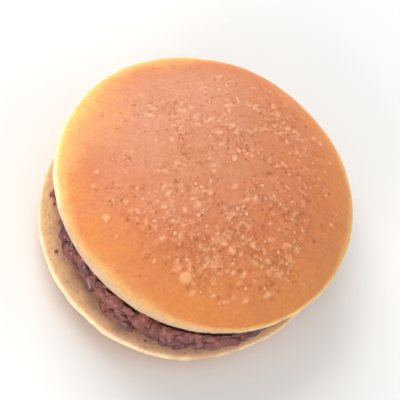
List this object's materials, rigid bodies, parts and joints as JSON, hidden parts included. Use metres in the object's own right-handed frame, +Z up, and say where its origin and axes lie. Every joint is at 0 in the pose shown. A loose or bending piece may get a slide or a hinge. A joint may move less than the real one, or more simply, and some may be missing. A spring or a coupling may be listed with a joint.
{
  "type": "dorayaki",
  "caption": "Round sandwich of soft domed pancakes with browned outer faces, held together by a layer of sweet red bean paste that shows along the open side.",
  "frame": {"origin": "middle of the flat spot under the lower pancake, where the dorayaki rests", "axes": "+Z up through the stack; -Y towards the side where the pancakes stand furthest apart and the most paste shows; +X to the right seen from that side"},
  "size_m": [0.0945, 0.1009, 0.0356],
  "materials": {
    "pancake": "soft baked skin, rosy brown in the middle, golden towards a pale cream rim",
    "bean_paste": "moist, coarse, with bean skins and whole beans"
  },
  "bodies": {
    "root": {"lower_pancake": "pancake", "bean_paste": "bean_paste", "upper_pancake": "pancake"}
  },
  "joints": []
}
